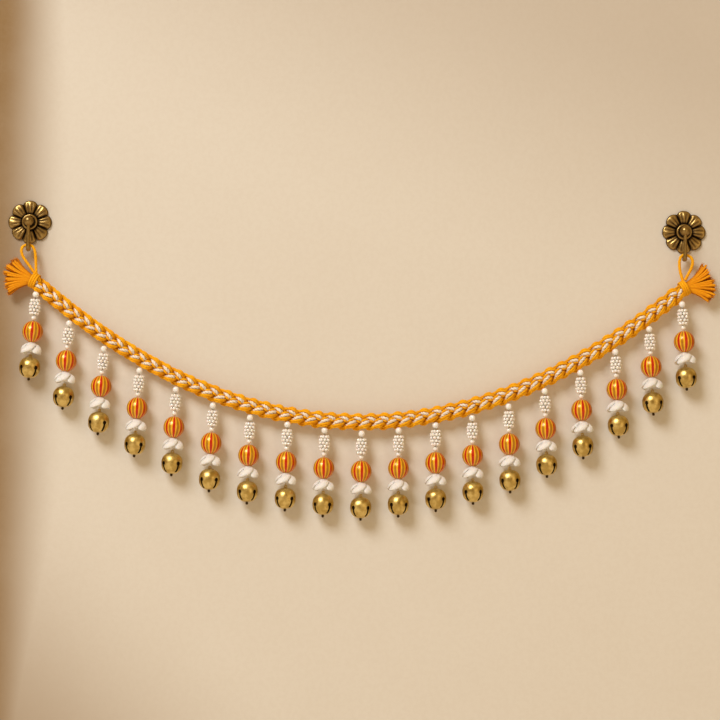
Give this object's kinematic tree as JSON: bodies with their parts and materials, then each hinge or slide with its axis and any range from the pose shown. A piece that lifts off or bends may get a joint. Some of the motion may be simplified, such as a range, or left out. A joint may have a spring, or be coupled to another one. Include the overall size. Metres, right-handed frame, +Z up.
{
  "type": "toran door hanging with two wall hooks",
  "caption": "Plaited yarn swag with pearl strings, striped balls, petal caps and jingle bells, hung by a cord loop at each end on flower-shaped wall hooks.",
  "frame": {"origin": "on the wall's face, midway between the middles of the two hook plates", "axes": "+X to the right as the hanging is seen, +Y into the wall, +Z up"},
  "size_m": [0.9933, 0.0297, 0.44],
  "materials": {
    "yarn": "soft twisted yarn",
    "bead": "glossy",
    "bell": "polished",
    "hook": "aged"
  },
  "bodies": {
    "root": {"plait_strand_1": "yarn", "plait_strand_2": "yarn", "plait_strand_3": "yarn", "wrap_left": "yarn", "wrap_right": "yarn", "tassel_left": "yarn", "tassel_right": "yarn", "loop_left": "yarn", "loop_right": "yarn", "rosette_left": "hook", "rosette_right": "hook", "hook_left": "hook", "hook_right": "hook", "string_01": "bead", "string_02": "bead", "string_03": "bead", "string_04": "bead", "string_05": "bead", "string_06": "bead", "string_07": "bead", "string_08": "bead", "string_09": "bead", "string_10": "bead", "string_11": "bead", "string_12": "bead", "string_13": "bead", "string_14": "bead", "string_15": "bead", "string_16": "bead", "string_17": "bead", "string_18": "bead", "string_19": "bead", "bell_01": "bell", "bell_02": "bell", "bell_03": "bell", "bell_04": "bell", "bell_05": "bell", "bell_06": "bell", "bell_07": "bell", "bell_08": "bell", "bell_09": "bell", "bell_10": "bell", "bell_11": "bell", "bell_12": "bell", "bell_13": "bell", "bell_14": "bell", "bell_15": "bell", "bell_16": "bell", "bell_17": "bell", "bell_18": "bell", "bell_19": "bell"}
  },
  "joints": []
}
